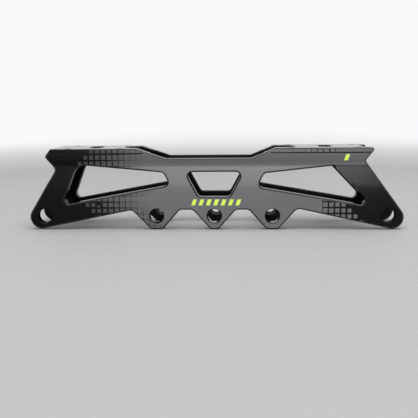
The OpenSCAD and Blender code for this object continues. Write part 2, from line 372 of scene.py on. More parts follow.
class Effects:
    """The shader effects that the finishes share, each made once."""

    def __init__(self) -> None:
        """Makes the groups."""
        self.grain = self._grain()
        self.pixel_fade = self._pixel_fade()
        self.dashes = self._dashes()

    @staticmethod
    def _grain() -> NodeTree:
        """Blasted specks and lines drawn along X, with soft clouds in the gloss and the shade.

        Returns:
            The node group.
        """
        inputs = {"Vector": Socket.VECTOR, **GRAIN}
        outputs = dict.fromkeys(("Roughness", "Height", "Shade"), Socket.NUMBER)
        graph = Graph.group("metal_grain", TreeKind.SHADER, inputs, outputs)
        given = graph.add("NodeGroupInput").outputs
        specks = graph.noise(given["Vector"], given["Speck Scale"], 2.0)
        drawn = graph.vector("MULTIPLY", {0: given["Vector"], 1: LINE_STRETCH})
        lines = graph.noise(drawn, given["Line Scale"], 3.0)
        clouds = graph.noise(given["Vector"], given["Cloud Scale"], 3.0)
        speckled = graph.math("MULTIPLY", specks, given["Speck Share"])
        height = graph.math("MULTIPLY_ADD", lines, given["Line Share"], speckled)
        clouded = graph.math("MULTIPLY_ADD", clouds, given["Cloud Share"], height)
        uneven = graph.math("SUBTRACT", clouded, given["Level"])
        roughness = graph.math("MULTIPLY_ADD", uneven, given["Spread"], given["Roughness"])
        shade = graph.math("MULTIPLY_ADD", uneven, given["Shade Spread"], 1.0)
        graph.add("NodeGroupOutput", {"Roughness": roughness, "Height": height, "Shade": shade})
        return graph.tree

    @staticmethod
    def _pixel_fade() -> NodeTree:
        """A tone that breaks up into a grid of shrinking squares towards both ends, and painted shade on
        its upper band.

        Returns:
            The node group.
        """
        inputs = {"Vector": Socket.VECTOR, **PIXEL_FADE}
        graph = Graph.group("pixel_fade", TreeKind.SHADER, inputs, {"Tone": Socket.NUMBER})
        given = graph.add("NodeGroupInput").outputs
        place = graph.add("ShaderNodeSeparateXYZ", {"Vector": given["Vector"]}).outputs
        # The middle of the cell along X and Z, and how far from it the point lies
        half_cell = graph.math("MULTIPLY", given["Pitch"], 0.5)
        middles, offsets = [], []
        for along in (place["X"], graph.math("ADD", place["Z"], given["Row Shift"])):
            middle = graph.math("ADD", graph.math("SNAP", along, given["Pitch"]), half_cell)
            away = graph.math("ABSOLUTE", graph.math("SUBTRACT", along, middle))
            middles.append(middle)
            offsets.append(graph.math("DIVIDE", away, given["Pitch"]))
        # How solid the print is at the cell, from 0 at its end to 1, for the heel and the toe
        height = graph.math("ABSOLUTE", graph.math("SUBTRACT", middles[1], given["Heel Fold"]))
        bare = graph.math("LESS_THAN", height, given["Heel Bare"])
        height = graph.math("MULTIPLY_ADD", bare, given["Heel Bare"], height)
        shares = []
        for end, rise in (("Heel", height), ("Toe", middles[1])):
            leaning = graph.math("MULTIPLY_ADD", rise, given[f"{end} Lean"], middles[0])
            shares.append(graph.span(leaning, given[f"{end} Start"], given[f"{end} Solid"]))
        # Inboard of the toe's edge and above its window the print stays whole
        inboard = graph.math("LESS_THAN", place["X"], given["Toe Edge"])
        past = graph.math("GREATER_THAN", place["X"], given["Window End"])
        step = graph.math("SUBTRACT", given["Leg Top"], given["Window Top"])
        limit = graph.math("MULTIPLY_ADD", past, step, given["Window Top"])
        above = graph.math("GREATER_THAN", place["Z"], limit)
        whole = graph.math("MAXIMUM", inboard, above)
        share = graph.math("MINIMUM", shares[0], graph.math("MAXIMUM", shares[1], whole))
        # The row along the toe deck's side thins out on its own
        under = graph.math("LESS_THAN", place["Z"], given["Row Low"])
        beyond = graph.math("GREATER_THAN", place["X"], given["Row End"])
        off_row = graph.math("MAXIMUM", under, beyond)
        row = graph.span(middles[0], given["Row Thin"], given["Row Solid"])
        share = graph.math("MINIMUM", share, graph.math("MAXIMUM", row, off_row))
        # The square that this share gives, with a soft edge
        growth = graph.math("SUBTRACT", given["Full Square"], given["First Square"])
        half_side = graph.math("MULTIPLY_ADD", share, growth, given["First Square"])
        inside = graph.math("SUBTRACT", half_side, graph.math("MAXIMUM", *offsets))
        square = graph.math("MULTIPLY_ADD", inside, given["Edge Sharpness"], 0.5, clamp=True)
        begun = graph.math("GREATER_THAN", share, given["Least Share"])
        # Dimmer towards the heel; the darker upper band is painted shade
        dimmed = graph.math("SUBTRACT", 1.0, given["Heel Tone"])
        tone = graph.math("MULTIPLY_ADD", shares[0], dimmed, given["Heel Tone"])
        tone = graph.math("MULTIPLY", tone, graph.math("MULTIPLY", square, begun))
        upper = graph.span(place["Z"], given["Upper Shade Start"], given["Upper Shade Full"])
        painted_shade_fall = graph.math("SUBTRACT", given["Upper Painted Shade"], 1.0)
        tone = graph.math("MULTIPLY", tone, graph.math("MULTIPLY_ADD", upper, painted_shade_fall, 1.0))
        graph.add("NodeGroupOutput", {"Tone": tone})
        return graph.tree

    @staticmethod
    def _dashes() -> NodeTree:
        """A short row of plain slanted dashes.

        Returns:
            The node group.
        """
        inputs = {"Vector": Socket.VECTOR, **DASHES}
        graph = Graph.group("slanted_dashes", TreeKind.SHADER, inputs, {"Mask": Socket.NUMBER})
        given = graph.add("NodeGroupInput").outputs
        place = graph.add("ShaderNodeSeparateXYZ", {"Vector": given["Vector"]}).outputs
        rise = graph.math("SUBTRACT", place["Z"], given["Middle Z"])
        run = graph.math("SUBTRACT", place["X"], given["Start X"])
        run = graph.math("SUBTRACT", run, graph.math("MULTIPLY", rise, given["Slant"]))
        count = graph.math("DIVIDE", run, given["Pitch"])
        in_dash = graph.math("LESS_THAN", graph.math("FRACT", count), given["Filled"])
        started = graph.math("GREATER_THAN", count, 0.0)
        not_over = graph.math("LESS_THAN", count, given["Count"])
        half_height = graph.math("MULTIPLY", given["Height"], 0.5)
        level = graph.math("LESS_THAN", graph.math("ABSOLUTE", rise), half_height)
        along = graph.math("MULTIPLY", graph.math("MULTIPLY", started, not_over), in_dash)
        graph.add("NodeGroupOutput", {"Mask": graph.math("MULTIPLY", along, level)})
        return graph.tree


@dataclass(frozen=True)
class MetalFinish:
    """A metal surface with grain.

    Attributes:
        name: The material's name.
        colour: Its base colour, linear.
        roughness: Its middle roughness.
        spread: How much the roughness varies.
        metallic: Whether it shows as bare metal, 0 or 1.
        specular: Specular level of a surface that isn't bare.
        bump: Strength of the grain's relief.
        relief: Depth of that relief, in mm.
    """

    name: str
    colour: tuple[float, float, float]
    roughness: float
    spread: float = 0.12
    metallic: float = 0.0
    specular: float = 0.5
    bump: float = 0.06
    relief: float = 0.05

    def shaded(self, graph: Graph, grain: Node) -> NodeSocket:
        """The base colour, a little uneven."""
        return graph.vector("SCALE", {0: self.colour, "Scale": grain.outputs["Shade"]})

    def coloured(self, graph: Graph, grain: Node, vector: NodeSocket, effects: Effects) -> NodeSocket:
        """The colour that the shader takes, here the base colour alone."""
        return self.shaded(graph, grain)

    def make(self, effects: Effects) -> Material:
        """Makes the material.

        Args:
            effects: The shared shader groups.

        Returns:
            The material.
        """
        material = bpy.data.materials.new(self.name)
        graph = Graph.cleared(material)
        vector = graph.add("ShaderNodeTexCoord").outputs["Object"]
        feeds = {"Vector": vector, "Roughness": self.roughness, "Spread": self.spread}
        grain = graph.add("ShaderNodeGroup", feeds, node_tree=effects.grain)
        bump = graph.add(
            "ShaderNodeBump",
            {"Height": grain.outputs["Height"], "Strength": self.bump, "Distance": self.relief * MM},
        )
        shader = graph.add(
            "ShaderNodeBsdfPrincipled",
            {
                "Base Color": self.coloured(graph, grain, vector, effects),
                "Roughness": grain.outputs["Roughness"],
                "Metallic": self.metallic,
                "Specular IOR Level": self.specular,
                "Normal": bump.outputs["Normal"],
            },
        )
        graph.add("ShaderNodeOutputMaterial", {"Surface": shader.outputs["BSDF"]})
        return material


@dataclass(frozen=True)
class PrintFinish(MetalFinish):
    """Black metal with a grey print that breaks up into squares, and a few bright dashes.

    Attributes:
        grey: The print's colour.
        accent: The dashes' colour.
        dash_rows: For each row of dashes its start along X and its height, in mm, and their number.
    """

    grey: tuple[float, float, float] = (0.146, 0.147, 0.155)
    accent: tuple[float, float, float] = (0.70, 0.95, 0.14)
    dash_rows: tuple[tuple[float, float, float], ...] = ((-15.5, 19.3, 7.0), (90.5, 50.6, 1.0))

    def coloured(self, graph: Graph, grain: Node, vector: NodeSocket, effects: Effects) -> NodeSocket:
        """The black, the grey print over it and the dashes over that.

        Args:
            graph: The material's graph.
            grain: The grain group's node.
            vector: Object coordinates.
            effects: The shared shader groups.

        Returns:
            The colour's output.
        """
        fade = graph.add("ShaderNodeGroup", {"Vector": vector}, node_tree=effects.pixel_fade)
        printed = graph.mix(fade.outputs["Tone"], self.shaded(graph, grain), (*self.grey, 1.0))
        for start, middle, count in self.dash_rows:
            feeds = {"Vector": vector, "Start X": start * MM, "Middle Z": middle * MM, "Count": count}
            dashes = graph.add("ShaderNodeGroup", feeds, node_tree=effects.dashes)
            printed = graph.mix(dashes.outputs["Mask"], printed, (*self.accent, 1.0))
        return printed


ANODISED = (0.002, 0.0018, 0.0017)
BLACK_FINISH = MetalFinish("black_anodised", ANODISED, 0.22, specular=0.11)
PRINTED_FINISH = PrintFinish("black_anodised_printed", ANODISED, 0.22, specular=0.11)
# Painted highlight: the chamfers' base colour is lighter than the black so that edges show light lines;
# their gloss is real
CHAMFER_PAINTED_HIGHLIGHT_FINISH = MetalFinish("black_anodised_chamfer_painted_highlight", (0.008, 0.0078, 0.0076), 0.28, specular=0.35)
FACED_FINISH = MetalFinish("black_anodised_faced", (0.006, 0.006, 0.006), 0.16, 0.06, bump=0.02)
REAMED_FINISH = MetalFinish("black_anodised_reamed", (0.004, 0.004, 0.004), 0.10, 0.06, bump=0.02)
SCREW_FINISH = MetalFinish("black_oxide_steel", (0.035, 0.035, 0.037), 0.34)
PIN_FINISH = MetalFinish("ground_steel", (0.55, 0.55, 0.57), 0.25, metallic=1.0)
BUSH_FINISH = MetalFinish("turned_steel", (0.035, 0.035, 0.037), 0.40, metallic=1.0)


class Finishes:
    """The materials, each made once."""

    def __init__(self) -> None:
        """Makes the shared effects and then the materials."""
        effects = Effects()
        self.black = BLACK_FINISH.make(effects)
        self.printed = PRINTED_FINISH.make(effects)
        self.chamfer = CHAMFER_PAINTED_HIGHLIGHT_FINISH.make(effects)
        self.faced = FACED_FINISH.make(effects)
        self.reamed = REAMED_FINISH.make(effects)
        self.screw = SCREW_FINISH.make(effects)
        self.pin = PIN_FINISH.make(effects)
        self.bush = BUSH_FINISH.make(effects)

    def skins(self) -> list[Material]:
        """The finishes of a rail or a deck, in the order of Skin."""
        return [self.black, self.printed, self.chamfer, self.faced, self.black, self.black, self.reamed]


def evaluated_mesh(obj: Object) -> None:
    """Turns an object's modifiers into its plain mesh.

    Args:
        obj: The object, which keeps no modifiers.
    """
    graph = bpy.context.evaluated_depsgraph_get()
    mesh = bpy.data.meshes.new_from_object(obj.evaluated_get(graph), depsgraph=graph)
    mesh.name = obj.name
    obj.modifiers.clear()
    obj.data = mesh


def set_nodes(obj: Object, tree: NodeTree, values: dict[str, Any]) -> None:
    """Runs Geometry Nodes on an object and keeps the plain mesh.

    Args:
        obj: The object.
        tree: The Geometry Nodes.
        values: What their named inputs are set to.
    """
    modifier = obj.modifiers.new(tree.name, "NODES")
    modifier.node_group = tree
    for item in tree.interface.items_tree:
        if item.item_type == "SOCKET" and item.in_out == "INPUT" and item.name in values:
            modifier[item.identifier] = values[item.name]
    evaluated_mesh(obj)


def new_object(name: str, mesh: Mesh) -> Object:
    """Puts a mesh into the scene at the origin.

    Args:
        name: The piece's name.
        mesh: Its mesh.

    Returns:
        The object.
    """
    obj = bpy.data.objects.new(name, mesh)
    bpy.context.scene.collection.objects.link(obj)
    return obj


def shade(mesh: Mesh, smooth_deg: float) -> None:
    """Shades faces as one, apart from edges that turn by more than an angle."""
    mesh.shade_smooth()
    mesh.set_sharp_from_angle(angle=math.radians(smooth_deg))


def hand_over(obj: Object, node: str) -> None:
    """Makes a finished piece ride on the frame and stand for its CAD node.

    Args:
        obj: The piece.
        node: The CAD node that it replaces.
    """
    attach(obj, BODY)
    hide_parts(node)


def box_of(points: list[Vector]) -> tuple[Vector, Vector]:
    """The lowest and the highest corner of the box round some points."""
    return Vector(map(min, *points)), Vector(map(max, *points))


def within(place: Vector, x: float, z: float, reach: float) -> bool:
    """Tells whether a place in mm lies within reach of an axis across the frame."""
    return math.hypot(place.x - x, place.z - z) < reach


def on_inner_face(place: Vector) -> bool:
    """Tells whether a place in mm lies on the inner face of a rail."""
    return abs(abs(place.y) - HALF_WIDTH + RAIL_THICKNESS) < CLOSE


def at_nose(low: Vector, high: Vector) -> bool:
    """Tells whether an edge lies where a deck's nose butts against a rail.

    Args:
        low: Lowest corner of the edge's box, in mm.
        high: Highest corner of the edge's box, in mm.

    Returns:
        True for an upright edge that starts on the seat, and for the end of the seam next to one.
    """
    on_seat = abs(low.z - DECK_SEAT_Z) < CLOSE
    upright = high.x - low.x < CLOSE < high.z - low.z
    last = any(low.x > start - CLOSE and high.x < end + CLOSE for start, end in NOSE_SPANS)
    return on_seat and (upright or last)


def turn(steps: int) -> list[float]:
    """The angles of points spaced evenly round a full turn."""
    return [2 * math.pi * i / steps for i in range(steps)]


def add_ring(work: BMesh, spots: list[tuple[float, float, float]]) -> list[BMVert]:
    """Adds the points of a ring, whose places are in mm."""
    return [work.verts.new([c * MM for c in spot]) for spot in spots]


def join_rings(work: BMesh, rings: list[list[BMVert]]) -> None:
    """Joins each ring to the next by faces with four sides.

    Args:
        work: The mesh.
        rings: The rings, each with as many points.
    """
    for lower, upper in zip(rings, rings[1:]):
        for i in range(len(lower)):
            j = (i + 1) % len(lower)
            work.faces.new((lower[i], lower[j], upper[j], upper[i]))


def closed_mesh(work: BMesh, name: str) -> Mesh:
    """Keeps a closed shape as a plain mesh whose faces point outwards.

    Args:
        work: The shape, which is freed.
        name: The mesh's name.

    Returns:
        The mesh.
    """
    bmesh.ops.recalc_face_normals(work, faces=work.faces)
    mesh = bpy.data.meshes.new(name)
    work.to_mesh(mesh)
    work.free()
    return mesh


def patches(work: BMesh, skin: Skin) -> list[list[BMFace]]:
    """Finds the connected faces of one kind.

    Args:
        work: The mesh.
        skin: The kind of face.

    Returns:
        One list of faces for each connected patch.
    """
    left = dict.fromkeys(face for face in work.faces if face.material_index == skin.value)
    found = []
    while left:
        patch = [left.popitem()[0]]
        for face in patch:
            for other in (near for edge in face.edges for near in edge.link_faces):
                if other in left:
                    del left[other]
                    patch.append(other)
        found.append(patch)
    return found


@dataclass(frozen=True)
class Rim:
    """The closed loops round a patch, laid flat.

    Attributes:
        starts: The first ends of their edges.
        ends: The other ends.
    """

    starts: np.ndarray
    ends: np.ndarray

    def inside(self, points: np.ndarray) -> np.ndarray:
        """Tells which points lie inside, by counting crossings.

        Args:
            points: The points in the plane.

        Returns:
            A truth value for each point.
        """
        x, y = points[:, 0, None], points[:, 1, None]
        crosses = (self.starts[:, 1] > y) != (self.ends[:, 1] > y)
        run, rise = (self.ends - self.starts).T
        rise = np.where(rise == 0, 1.0, rise)
        at = self.starts[:, 0] + (y - self.starts[:, 1]) * run / rise
        return np.sum(crosses & (x < at), axis=1) % 2 == 1

    def clear(self, points: np.ndarray, gap: float) -> np.ndarray:
        """Tells which points keep a gap from every edge.

        Args:
            points: The points in the plane.
            gap: The least distance.

        Returns:
            A truth value for each point.
        """
        run = self.ends - self.starts
        span = np.maximum(np.sum(run * run, axis=1), TINY * TINY)
        away = points[:, None, :] - self.starts
        along = np.clip(np.sum(away * run, axis=2) / span, 0.0, 1.0)
        return np.min(np.linalg.norm(away - along[:, :, None] * run, axis=2), axis=1) > gap


def refill_patch(
    work: BMesh, patch: list[BMFace], skin: Skin, spare: list[tuple[float, float]], surface: BVHTree
) -> None:
    """Replaces a patch by an even triangulation of its rim.

    Args:
        work: The mesh.
        patch: The faces to replace.
        skin: Their kind.
        spare: Places for points inside the patch.
        surface: The CAD surface that such points lie on.
    """
    axis = skin.axis()
    u, v = (0, 2) if axis == 1 else (0, 1)
    facing = sum(face.normal[axis] * face.calc_area() for face in patch)
    members = set(patch)
    edges = sorted(
        {e for face in patch for e in face.edges if sum(f in members for f in e.link_faces) == 1},
        key=lambda edge: edge.index,
    )
    corners = list(dict.fromkeys(vert for edge in edges for vert in edge.verts))
    number = {vert: i for i, vert in enumerate(corners)}
    flat = np.array([(vert.co[u], vert.co[v]) for vert in corners])
    pairs = [(number[edge.verts[0]], number[edge.verts[1]]) for edge in edges]
    rim = Rim(flat[[a for a, _ in pairs]], flat[[b for _, b in pairs]])
    extra = np.array(spare).reshape(-1, 2)
    extra = extra[rim.inside(extra)]
    extra = extra[rim.clear(extra, FILL_GAP * MM)]
    bmesh.ops.delete(work, geom=patch, context="FACES")
    points = [Vector(p) for p in np.concatenate((flat, extra))]
    places, _, triangles, origins, _, _ = delaunay_2d_cdt(points, pairs, [], 0, FILL_EPSILON)
    side = math.copysign(1.0, facing)
    filled = []
    for place, origin in zip(places, origins):
        first = min(origin, default=len(corners))
        if first < len(corners):
            filled.append(corners[first])
            continue
        if axis == 1:
            start = Vector((place[0], 2 * side * HALF_WIDTH * MM, place[1]))
            spot = surface.ray_cast(start, Vector((0.0, -side, 0.0)))[0]
        else:
            spot = Vector((place[0], place[1], corners[0].co.z))
        filled.append(work.verts.new(spot))
    shapes = np.array([[places[i] for i in t] for t in triangles])
    run, rise = shapes[:, 1] - shapes[:, 0], shapes[:, 2] - shapes[:, 0]
    areas = np.abs(run[:, 0] * rise[:, 1] - run[:, 1] * rise[:, 0]) / 2
    kept = rim.inside(shapes.mean(axis=1)) & (areas > LEAST_AREA * MM * MM)
    turned = (facing > 0) == (axis == 1)
    for triangle, keep in zip(triangles, kept):
        if keep:
            order = reversed(triangle) if turned else triangle
            face = work.faces.new([filled[i] for i in order])
            face.material_index = skin.value


@dataclass
class ChamferedSolid:
    """A CAD solid with chamfered edges and its own finish on each kind of face.

    Attributes:
        node: The CAD node.
        chamfer: Width of a full chamfer, in mm.
        merge: Distance up to which points are merged, in mm.
        sharp_deg: Turn at an edge from which it is chamfered.
        flat_deg: Turn below which two triangles count as one face.
        smooth_deg: Turn up to which faces are shaded as one.
    """

    node: str
    chamfer: float = 0.6
    merge: float = 0.12
    sharp_deg: float = 55.0
    flat_deg: float = 0.05
    smooth_deg: float = 25.0

    def edge_share(self, low: Vector, high: Vector) -> float:
        """How much of the full chamfer an edge gets, by the corners of its box in mm."""
        return 1.0

    def spare_points(self, skin: Skin) -> list[tuple[float, float]]:
        """Places along X and Z in mm of the points that a broad face's curve needs."""
        return []

    @staticmethod
    def skin(normal: Vector, middle: Vector) -> Skin:
        """Which finish a face takes.

        Args:
            normal: The face's normal.
            middle: The face's middle, in mm.

        Returns:
            The finish.
        """
        if normal.z > FLAT_SHARE and middle.z > DECK_TOP_Z - CLOSE:
            return Skin.TOP
        if abs(normal.z) > FLAT_SHARE and abs(middle.z - DECK_SEAT_Z) < CLOSE:
            return Skin.SEAT
        in_bore = any(within(middle, x, AXLE_Z, BORE_REACH) for x in AXLE_STATIONS.values())
        if in_bore and abs(normal.y) < BORE_SHARE:
            return Skin.BORE
        if normal.y * middle.y > 0:
            outer = abs(normal.y) > WAISTED_SHARE and abs(middle.y) > HALF_WIDTH - OUTER_DEPTH
            return Skin.PRINT if outer else Skin.PLAIN
        inner = abs(normal.y) > FLAT_SHARE and on_inner_face(middle)
        return Skin.INNER if inner else Skin.PLAIN

    def build(self, source: Object, finishes: Finishes) -> Object:
        """Copies the CAD mesh, chamfers it and dresses it.

        Args:
            source: The CAD node's object, which isn't changed.
            finishes: The materials.

        Returns:
            The finished piece.
        """
        piece = f"{self.node}_chamfered"
        mesh = bpy.data.meshes.new(piece)
        work = bmesh.new()
        work.from_mesh(source.data)
        bmesh.ops.remove_doubles(work, verts=work.verts, dist=self.merge * MM)
        flat = math.radians(self.flat_deg)
        bmesh.ops.dissolve_limit(work, angle_limit=flat, verts=work.verts, edges=work.edges)
        self._split_seams(work)
        self._mark(work)
        work.to_mesh(mesh)
        work.free()
        for material in finishes.skins():
            mesh.materials.append(material)
        obj = new_object(piece, mesh)
        cut = obj.modifiers.new("chamfer", "BEVEL")
        cut.limit_method = "WEIGHT"
        cut.width = self.chamfer * MM
        cut.segments = 1
        cut.use_clamp_overlap = False
        cut.loop_slide = False
        cut.material = Skin.CHAMFER.value
        evaluated_mesh(obj)
        self._refill(obj.data, source.data)
        shade(obj.data, self.smooth_deg)
        self._true_normals(obj.data, source.data)
        hand_over(obj, self.node)
        return obj

    @staticmethod
    def _split_seams(work: BMesh) -> None:
        """Splits the outer edges on the seat, so that their chamfers can stop short of the nose.

        Args:
            work: The merged mesh.
        """
        stops = (NOSE_SPANS[0][0] * MM, NOSE_SPANS[1][1] * MM)
        for edge in list(work.edges):
            first, last = sorted(edge.verts, key=lambda vert: vert.co.x)
            flat = all(abs(v.co.z / MM - DECK_SEAT_Z) < CLOSE for v in edge.verts)
            outer = all(abs(v.co.y) / MM > HALF_WIDTH - CLOSE for v in edge.verts)
            for stop in stops:
                if flat and outer and first.co.x < stop < last.co.x:
                    share = (stop - first.co.x) / (last.co.x - first.co.x)
                    bmesh.utils.edge_split(edge, first, share)

    def _mark(self, work: BMesh) -> None:
        """Sets the chamfer share of each edge and the finish of each face.

        Args:
            work: The merged mesh.
        """
        share = work.edges.layers.float.new("bevel_weight_edge")
        for edge in work.edges:
            if edge.is_convex and edge.calc_face_angle(0.0) >= math.radians(self.sharp_deg):
                edge[share] = self.edge_share(*box_of([v.co / MM for v in edge.verts]))
        for face in work.faces:
            face.material_index = self.skin(face.normal, face.calc_center_median() / MM).value

    def _refill(self, mesh: Mesh, solid: Mesh) -> None:
        """Fills the broad faces afresh, because a chamfer can fold the slim triangles in them.

        Args:
            mesh: The chamfered mesh.
            solid: The CAD mesh, for the height of points inside a face.
        """
        work = bmesh.new()
        work.from_mesh(mesh)
        crossed = [
            vert
            for vert in work.verts
            if any(within(vert.co / MM, x, z, TIGHT_REACH) for x, z in TIGHT_CORNERS)
        ]
        bmesh.ops.remove_doubles(work, verts=crossed, dist=TIGHT_MERGE * MM)
        corners = [v.co for v in solid.vertices]
        surface = BVHTree.FromPolygons(corners, [tuple(p.vertices) for p in solid.polygons])
        for skin in BROAD:
            spare = [(x * MM, z * MM) for x, z in self.spare_points(skin)]
            for patch in patches(work, skin):
                refill_patch(work, patch, skin, spare, surface)
        low, high = box_of(corners)
        for vert in work.verts:
            vert.co = Vector(min(max(c, a), b) for c, a, b in zip(vert.co, low, high))
        work.to_mesh(mesh)
        work.free()

    def _lean(self, solid: Mesh) -> np.ndarray:
        """How the outer face leans at each height, taken from the CAD mesh and evened out.

        Args:
            solid: The CAD mesh.

        Returns:
            For each height of LEAN_HEIGHTS the rise of the normal over its run outwards.
        """
        leans = np.zeros(len(LEAN_HEIGHTS))
        widest = np.zeros(len(LEAN_HEIGHTS))
        for face in solid.polygons:
            if self.skin(face.normal, face.center / MM) is Skin.PRINT:
                zs = [solid.vertices[i].co.z / MM for i in face.vertices]
                held = (LEAN_HEIGHTS > min(zs)) & (LEAN_HEIGHTS < max(zs)) & (widest < face.area)
                leans[held] = face.normal.z / abs(face.normal.y)
                widest[held] = face.area
        return np.convolve(leans, np.full(LEAN_WINDOW, 1 / LEAN_WINDOW), mode="same")

    def _true_normals(self, mesh: Mesh, solid: Mesh) -> None:
        """Shades the broad faces by the CAD's planes, because slim triangles bend averaged normals.

        Args:
            mesh: The finished mesh.
            solid: The CAD mesh.
        """
        leans = self._lean(solid)
        normals = np.zeros((len(mesh.loops), 3))
        for face in mesh.polygons:
            skin = Skin(face.material_index)
            if skin not in BROAD:
                continue
            axis = skin.axis()
            for i in face.loop_indices:
                normals[i, axis] = math.copysign(1.0, face.normal[axis])
                if skin is Skin.PRINT:
                    height = mesh.vertices[mesh.loops[i].vertex_index].co.z / MM
                    normals[i, 2] = np.interp(height, LEAN_HEIGHTS, leans)
        lengths = np.maximum(np.linalg.norm(normals, axis=1, keepdims=True), TINY)
        mesh.normals_split_custom_set((normals / lengths).tolist())


@dataclass
class Rail(ChamferedSolid):
    """A side rail.

    Attributes:
        chamfer: Width of a full chamfer, in mm.
        waist_in: How far the outer face dips in at the waist, in mm.
        along_y: Run across the frame from which an edge stays sharp, in mm.
        seated: Share of the chamfer round a bush.
        inner: Share of the chamfer on the inner face.
        fine: Share of the chamfer round an outer hole and along the seam under a deck.
        inner_top_z: Height below which inner edges are chamfered, in mm.
        bush_xs: Places of the bushes along X, in mm.
        bush_reach: Distance from an axle within which an edge belongs to its bush, in mm.
        waist_z: Heights between which the outer face is curved, in mm.
        waist_steps: Steps along X and Z of the points on that curve, in mm.
    """

    chamfer: float = 1.05
    waist_in: float = 0.9
    along_y: float = 0.5
    seated: float = 0.08
    inner: float = 0.25
    fine: float = 0.5
    inner_top_z: float = 44.0
    bush_xs: tuple[float, ...] = ()
    bush_reach: float = 7.0
    waist_z: tuple[float, float] = (29.0, 50.0)
    waist_steps: tuple[float, float] = (3.0, 0.6)

    def spare_points(self, skin: Skin) -> list[tuple[float, float]]:
        """A grid over the waist of the outer face.

        Args:
            skin: The kind of face.

        Returns:
            Places along X and Z, in mm.
        """
        if skin is not Skin.PRINT:
            return []
        reach = AXLE_STATIONS["toe"]
        step_x, step_z = self.waist_steps
        low, high = self.waist_z
        return [(x, z) for z in np.arange(low, high, step_z) for x in np.arange(-reach, reach, step_x)]

    def edge_share(self, low: Vector, high: Vector) -> float:
        """Full chamfers on the outer face, less on the inner one, none on edges that are hidden.

        Args:
            low: Lowest corner of the edge's box, in mm.
            high: Highest corner of the edge's box, in mm.

        Returns:
            A share from 0 to 1.
        """
        if at_nose(low, high) or high.y - low.y > self.along_y:
            return 0.0
        middle = (low + high) / 2
        if any(within(middle, x, AXLE_Z, self.bush_reach) for x in self.bush_xs):
            return self.seated
        if abs(middle.y) > HALF_WIDTH - self.waist_in - CLOSE:
            on_seat = low.z > DECK_SEAT_Z - CLOSE
            at_hole = any(within(middle, *hole) for hole in OUTER_HOLES)
            return self.fine if on_seat or at_hole else 1.0
        return self.inner if on_inner_face(middle) and high.z < self.inner_top_z else 0.0


@dataclass
class Deck(ChamferedSolid):
    """A deck plate.

    Attributes:
        seam: Share of the chamfer along the seam on the rails.
        rim: Share of the chamfer round the openings in its top.
    """

    seam: float = 0.4
    rim: float = 0.6

    def edge_share(self, low: Vector, high: Vector) -> float:
        """Chamfers on what shows, none on what lies in the rails.

        Args:
            low: Lowest corner of the edge's box, in mm.
            high: Highest corner of the edge's box, in mm.

        Returns:
            A share from 0 to 1.
        """
        outside = min(abs(low.y), abs(high.y)) > HALF_WIDTH - CLOSE
        if at_nose(low, high):
            return 0.0
        if high.z < DECK_SEAT_Z + CLOSE:
            return self.seam if outside else 0.0
        if low.z < DECK_SEAT_Z - CLOSE:
            return 0.0
        if outside:
            return 1.0
        return self.rim if low.z > DECK_TOP_Z - CLOSE or high.y - low.y < CLOSE else 0.0


